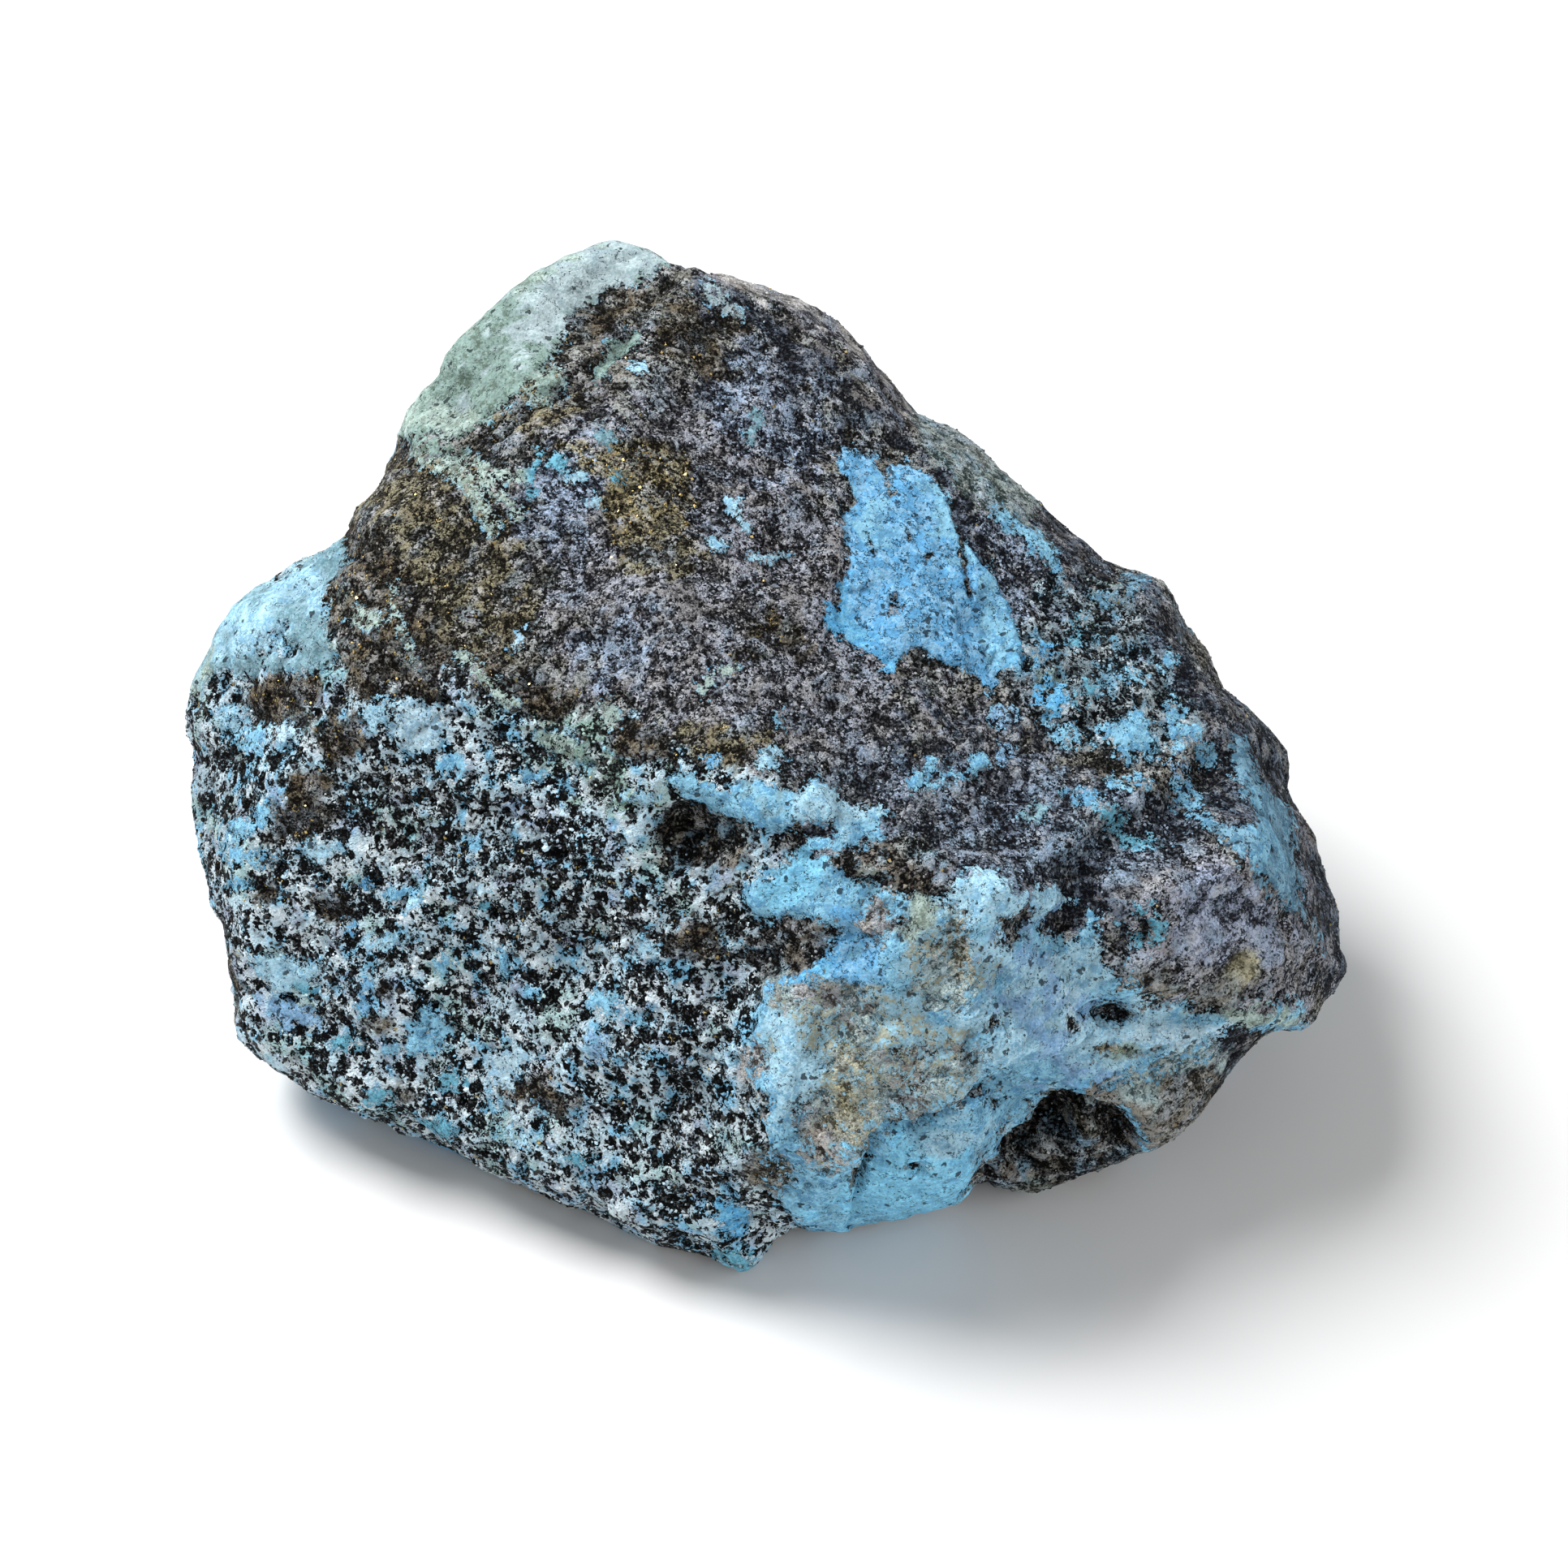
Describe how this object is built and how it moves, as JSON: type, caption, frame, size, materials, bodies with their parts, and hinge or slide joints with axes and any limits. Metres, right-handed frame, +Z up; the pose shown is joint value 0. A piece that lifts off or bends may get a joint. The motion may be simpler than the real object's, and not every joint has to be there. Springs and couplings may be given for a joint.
{
  "type": "rough turquoise in matrix",
  "caption": "Broken lump of dark, speckled rock with patches and veins of turquoise on a broad leaning face; it lies on a flat break.",
  "frame": {"origin": "centre of the bounding box's underside, on the surface that the stone rests on", "axes": "+X along the stone's longest extent, +Z up, -Y towards the side that the broad speckled face looks to"},
  "size_m": [0.0808, 0.0622, 0.0431],
  "materials": {
    "turquoise_in_rock": "dull, grainy broken rock from near black to lilac grey, with chalky sky-blue to pale green turquoise, tan crust and fine brassy pyrite"
  },
  "bodies": {
    "root": {"turquoise_stone": "turquoise_in_rock"}
  },
  "joints": []
}
